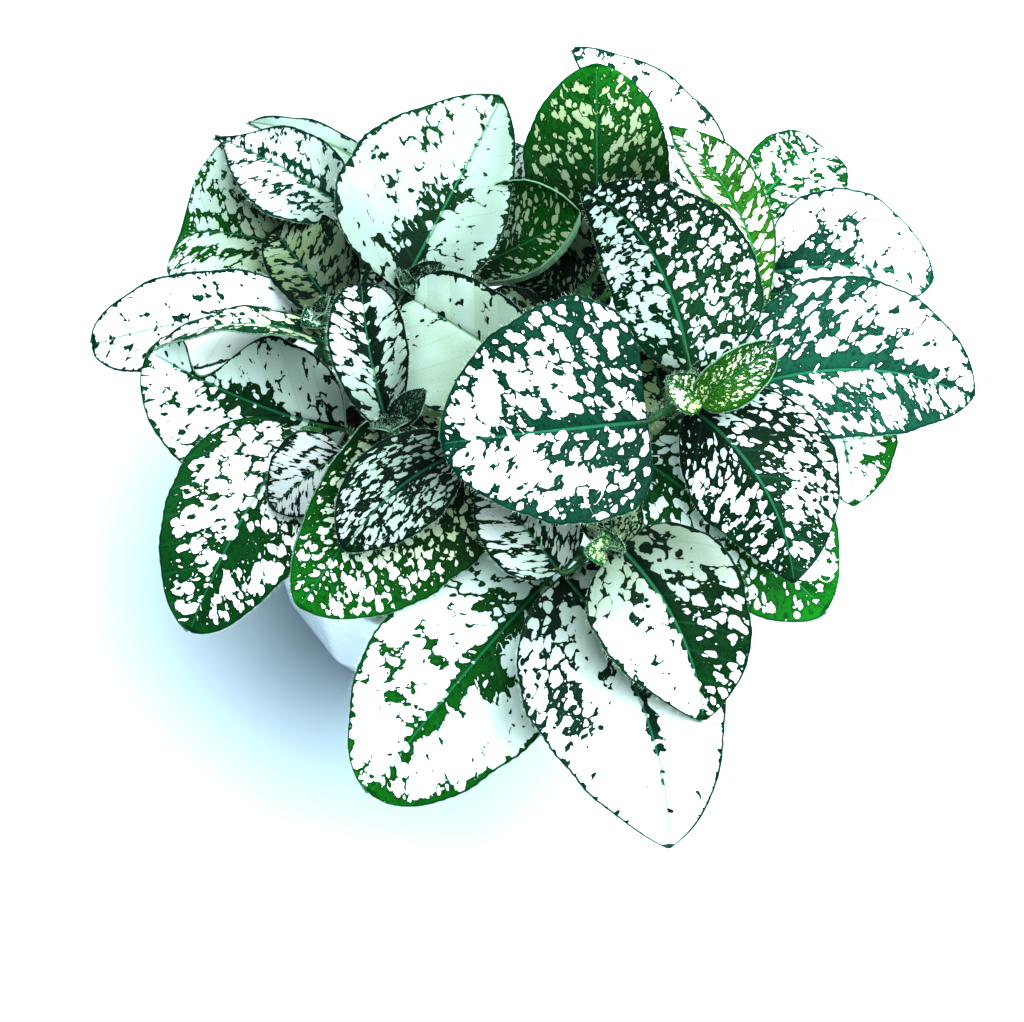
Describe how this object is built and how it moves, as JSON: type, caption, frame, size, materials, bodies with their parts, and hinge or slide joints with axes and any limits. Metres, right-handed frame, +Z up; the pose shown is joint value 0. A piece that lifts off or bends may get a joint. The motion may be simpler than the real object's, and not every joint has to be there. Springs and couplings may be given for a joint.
{
  "type": "potted polka dot plant",
  "caption": "Bushy houseplant with spotted green and white leaves on leaning stems, standing in soil in a small faceted white ceramic pot.",
  "frame": {"origin": "middle of the pot's flat foot, on the surface it stands on", "axes": "+Z up, -Y towards the viewer of the picture, +X to the viewer's right"},
  "size_m": [0.2123, 0.1995, 0.1456],
  "materials": {
    "glaze": "gloss",
    "soil": "matte",
    "leaf": "satin"
  },
  "bodies": {
    "root": {"pot": "glaze", "soil": "soil", "leafy_stem_right": "leaf", "leafy_stem_front": "leaf", "leafy_stem_middle": "leaf", "leafy_stem_back_left": "leaf", "leafy_stem_back": "leaf", "leafy_stem_left": "leaf"}
  },
  "joints": []
}
